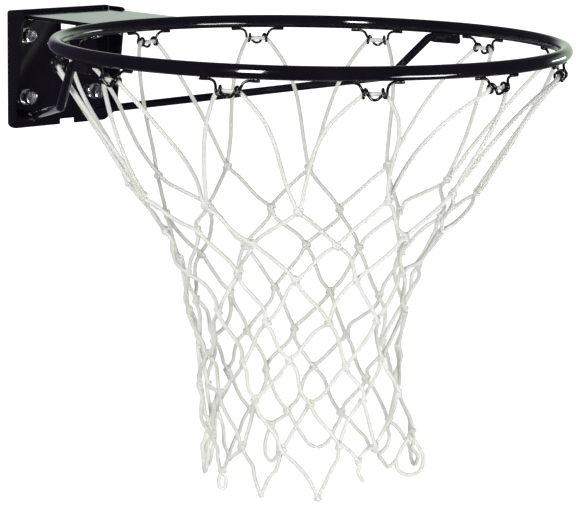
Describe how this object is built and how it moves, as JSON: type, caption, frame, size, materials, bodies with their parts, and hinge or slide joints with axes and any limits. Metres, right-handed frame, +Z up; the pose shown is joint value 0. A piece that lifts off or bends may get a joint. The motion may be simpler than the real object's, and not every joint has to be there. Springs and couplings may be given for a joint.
{
  "type": "fixed basketball ring with bracket and net",
  "caption": "Fixed black basketball ring on a folded steel backboard bracket with round-bar braces, wire net hooks and a knotted white cord net.",
  "frame": {"origin": "middle of the four-bolt pattern, on the bracket's back face where it meets the backboard", "axes": "+Z up; +Y into the backboard, along the bolts; the ring reaches out along -Y; +X to the right as seen from the court"},
  "size_m": [0.4825, 0.6443, 0.4145],
  "materials": {
    "black_paint": "deep gloss black enamel",
    "black_wire": "gloss black enamel on thin wire",
    "zinc_plate": "bright zinc plate",
    "net_cord": "braided white nylon cord"
  },
  "bodies": {
    "root": {"ring": "black_paint", "back_bracket": "black_paint", "top_plate": "black_paint", "brace_left": "black_paint", "brace_right": "black_paint", "bolt_upper_left": "zinc_plate", "bolt_upper_right": "zinc_plate", "bolt_lower_left": "zinc_plate", "bolt_lower_right": "zinc_plate", "washer_upper_left": "zinc_plate", "washer_upper_right": "zinc_plate", "washer_lower_left": "zinc_plate", "washer_lower_right": "zinc_plate", "net_hook_01": "black_wire", "net_hook_02": "black_wire", "net_hook_03": "black_wire", "net_hook_04": "black_wire", "net_hook_05": "black_wire", "net_hook_06": "black_wire", "net_hook_07": "black_wire", "net_hook_08": "black_wire", "net_hook_09": "black_wire", "net_hook_10": "black_wire", "net_hook_11": "black_wire", "net_hook_12": "black_wire", "net": "net_cord"}
  },
  "joints": []
}
